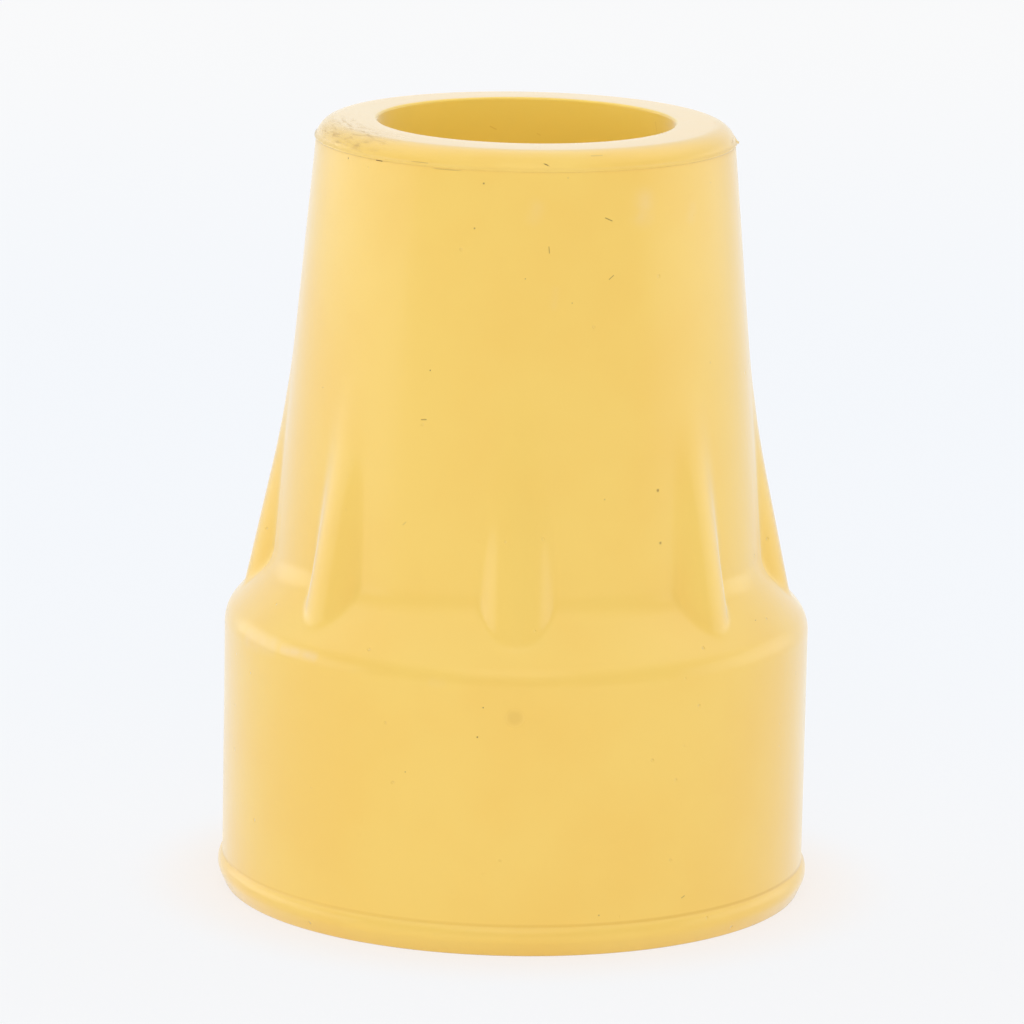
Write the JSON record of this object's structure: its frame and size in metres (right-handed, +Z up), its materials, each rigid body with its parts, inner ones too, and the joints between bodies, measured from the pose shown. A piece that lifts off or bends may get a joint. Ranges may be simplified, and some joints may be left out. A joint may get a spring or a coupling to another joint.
{
  "type": "rubber cane tip",
  "caption": "Moulded rubber tip for a walking cane: blind round socket, tapered barrel, ribs onto a sloping shoulder, wide skirt with a base lip and a grooved flat sole.",
  "frame": {"origin": "middle of the sole, on the surface that the tip stands on", "axes": "+Z up along the socket's axis, out of its mouth; -Y towards the front, where one rib points"},
  "size_m": [0.0382, 0.0382, 0.05],
  "materials": {
    "yellow_rubber": "smooth moulded rubber with a soft satin sheen and a faint pale bloom"
  },
  "bodies": {
    "root": {"ferrule": "yellow_rubber"}
  },
  "joints": []
}
